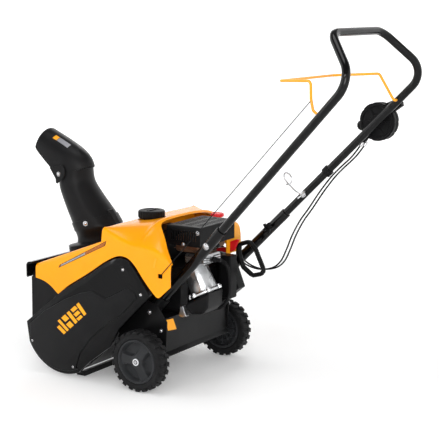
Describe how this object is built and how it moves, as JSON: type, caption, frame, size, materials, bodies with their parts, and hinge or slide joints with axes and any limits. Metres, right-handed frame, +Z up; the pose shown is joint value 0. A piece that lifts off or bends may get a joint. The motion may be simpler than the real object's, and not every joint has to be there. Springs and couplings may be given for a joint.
{
  "type": "snow blower",
  "caption": "Walk-behind single-stage petrol snow blower with a rubber paddle auger, turning chute, tubular handle and two small wheels.",
  "frame": {"origin": "on the ground under the middle of the scraper bar, half way between the two side plates", "axes": "+X to the machine's left, +Y to its rear (the handle end), +Z up; the open mouth of the auger housing faces -Y"},
  "size_m": [0.5504, 1.1618, 1.0271],
  "materials": {
    "hood_yellow": "glossy injection-moulded, warm yellow",
    "gloss_black": "glossy black",
    "tube_black": "glossy black powder coat",
    "steel_black": "satin black powder coat",
    "plastic_black": "satin black, fine grain",
    "plastic_grey": "satin dark grey",
    "rubber": "matt black",
    "tyre": "matt black, moulded lugs",
    "zinc": "bright zinc plate",
    "steel": "machined steel",
    "cast_aluminium": "as-cast, bead blasted",
    "bail_yellow": "satin yellow powder coat",
    "red": "semi-gloss red"
  },
  "bodies": {
    "machine": {"auger_housing": "steel_black", "side_plate_left": "steel_black", "side_plate_right": "steel_black", "scraper_bar": "zinc", "front_lip": "gloss_black", "auger_bearing_left": "steel", "auger_bearing_right": "steel", "drive_belt": "rubber", "idler_spring": "zinc", "belt_cover": "gloss_black", "hood": "hood_yellow", "control_panel": "hood_yellow", "chute_collar": "plastic_black", "fuel_tank": "plastic_black", "crankcase": "steel_black", "cylinder": "cast_aluminium", "cylinder_head": "cast_aluminium", "spark_plug": "rubber", "muffler": "steel", "muffler_guard": "plastic_black", "recoil_housing": "plastic_black", "carburettor_box": "plastic_black", "starter_rope": "rubber", "chassis_pan": "steel_black", "bracket_left": "steel_black", "bracket_right": "steel_black", "axle": "steel", "upper_handle": "tube_black", "lower_handle_left": "steel_black", "lower_handle_right": "steel_black", "handle_bolt_left": "zinc", "handle_bolt_right": "zinc", "clutch_cable": "rubber", "control_housing": "plastic_black", "chute_cable_a": "rubber", "chute_cable_b": "rubber", "cable_clip": "plastic_black", "rope_guide": "zinc"},
    "wheel_left": {"tyre_left": "tyre", "hub_left": "plastic_grey"},
    "wheel_right": {"tyre_right": "tyre", "hub_right": "plastic_grey"},
    "auger": {"auger_shaft": "steel", "auger_paddle_a": "rubber", "auger_paddle_b": "rubber", "auger_pulley": "steel"},
    "crank": {"crankshaft": "steel", "engine_pulley": "steel"},
    "idler_arm": {"idler_arm": "zinc"},
    "idler_roller": {"idler_roller": "steel"},
    "chute": {"chute_tube": "plastic_black", "deflector_bolt_left": "zinc", "deflector_bolt_right": "zinc"},
    "deflector": {"chute_deflector": "plastic_black"},
    "control_crank": {"control_crank": "plastic_black"},
    "bail": {"bail": "bail_yellow"},
    "fuel_cap": {"fuel_cap": "plastic_black"},
    "choke_knob": {"choke_knob": "red"},
    "stop_lever": {"stop_lever": "red"},
    "starter_grip": {"starter_grip": "plastic_black"}
  },
  "joints": [
    {"name": "wheel_left_spin", "type": "hinge", "parent": "machine", "child": "wheel_left", "pos_m": [0.22, 0.236, 0.089], "axis": [1, 0, 0], "continuous": true},
    {"name": "wheel_right_spin", "type": "hinge", "parent": "machine", "child": "wheel_right", "pos_m": [-0.22, 0.236, 0.089], "axis": [1, 0, 0], "continuous": true},
    {"name": "auger_spin", "type": "hinge", "parent": "machine", "child": "auger", "pos_m": [0, -0.034, 0.155], "axis": [1, 0, 0], "continuous": true},
    {"name": "crank_spin", "type": "hinge", "parent": "machine", "child": "crank", "pos_m": [0, 0.2, 0.292], "axis": [1, 0, 0], "continuous": true},
    {"name": "idler_swing", "type": "hinge", "parent": "machine", "child": "idler_arm", "pos_m": [0.2302, 0.111, 0.145], "axis": [1, 0, 0], "range_deg": [0, 5.2]},
    {"name": "idler_roller_spin", "type": "hinge", "parent": "idler_arm", "child": "idler_roller", "pos_m": [0.2362, 0.1369, 0.1823], "axis": [1, 0, 0], "continuous": true},
    {"name": "chute_turn", "type": "hinge", "parent": "machine", "child": "chute", "pos_m": [0, -0.082, 0.34], "axis": [0, -0.1736, 0.9848], "range_deg": [-95, 95]},
    {"name": "deflector_tilt", "type": "hinge", "parent": "chute", "child": "deflector", "pos_m": [0, -0.183, 0.574], "axis": [1, 0, 0], "range_deg": [0, 30]},
    {"name": "control_crank_turn", "type": "hinge", "parent": "machine", "child": "control_crank", "pos_m": [-0.2664, 0.742, 0.758], "axis": [1, 0, 0], "range_deg": [-190, 190]},
    {"name": "bail_squeeze", "type": "hinge", "parent": "machine", "child": "bail", "pos_m": [0, 0.812, 0.824], "axis": [1, 0, 0], "range_deg": [-56, 0], "stiffness_Nm_per_rad": 1.5, "springref_deg": 14.32, "deforming": ["clutch_cable"]},
    {"name": "fuel_cap_turn", "type": "hinge", "parent": "machine", "child": "fuel_cap", "pos_m": [0.055, 0.1603, 0.472], "axis": [0, 0, 1], "range_deg": [0, 90]},
    {"name": "choke_turn", "type": "hinge", "parent": "machine", "child": "choke_knob", "pos_m": [-0.105, 0.286, 0.456], "axis": [0, 0, 1], "range_deg": [0, 80]},
    {"name": "stop_press", "type": "hinge", "parent": "machine", "child": "stop_lever", "pos_m": [-0.088, 0.3505, 0.372], "axis": [1, 0, 0], "range_deg": [-40, 0]},
    {"name": "starter_pull", "type": "slide", "parent": "machine", "child": "starter_grip", "axis": [0, 0.7398, 0.6728], "range_m": [0, 0.55], "stiffness_N_per_m": 20, "springref_m": -0.4, "deforming": ["starter_rope"]}
  ],
  "couplings": [
    {"joint": "crank_spin", "follows": "auger_spin", "ratio": 3},
    {"joint": "idler_roller_spin", "follows": "auger_spin", "ratio": -5.6},
    {"joint": "control_crank_turn", "follows": "chute_turn", "ratio": 2},
    {"joint": "idler_swing", "follows": "bail_squeeze", "ratio": -0.0925}
  ]
}
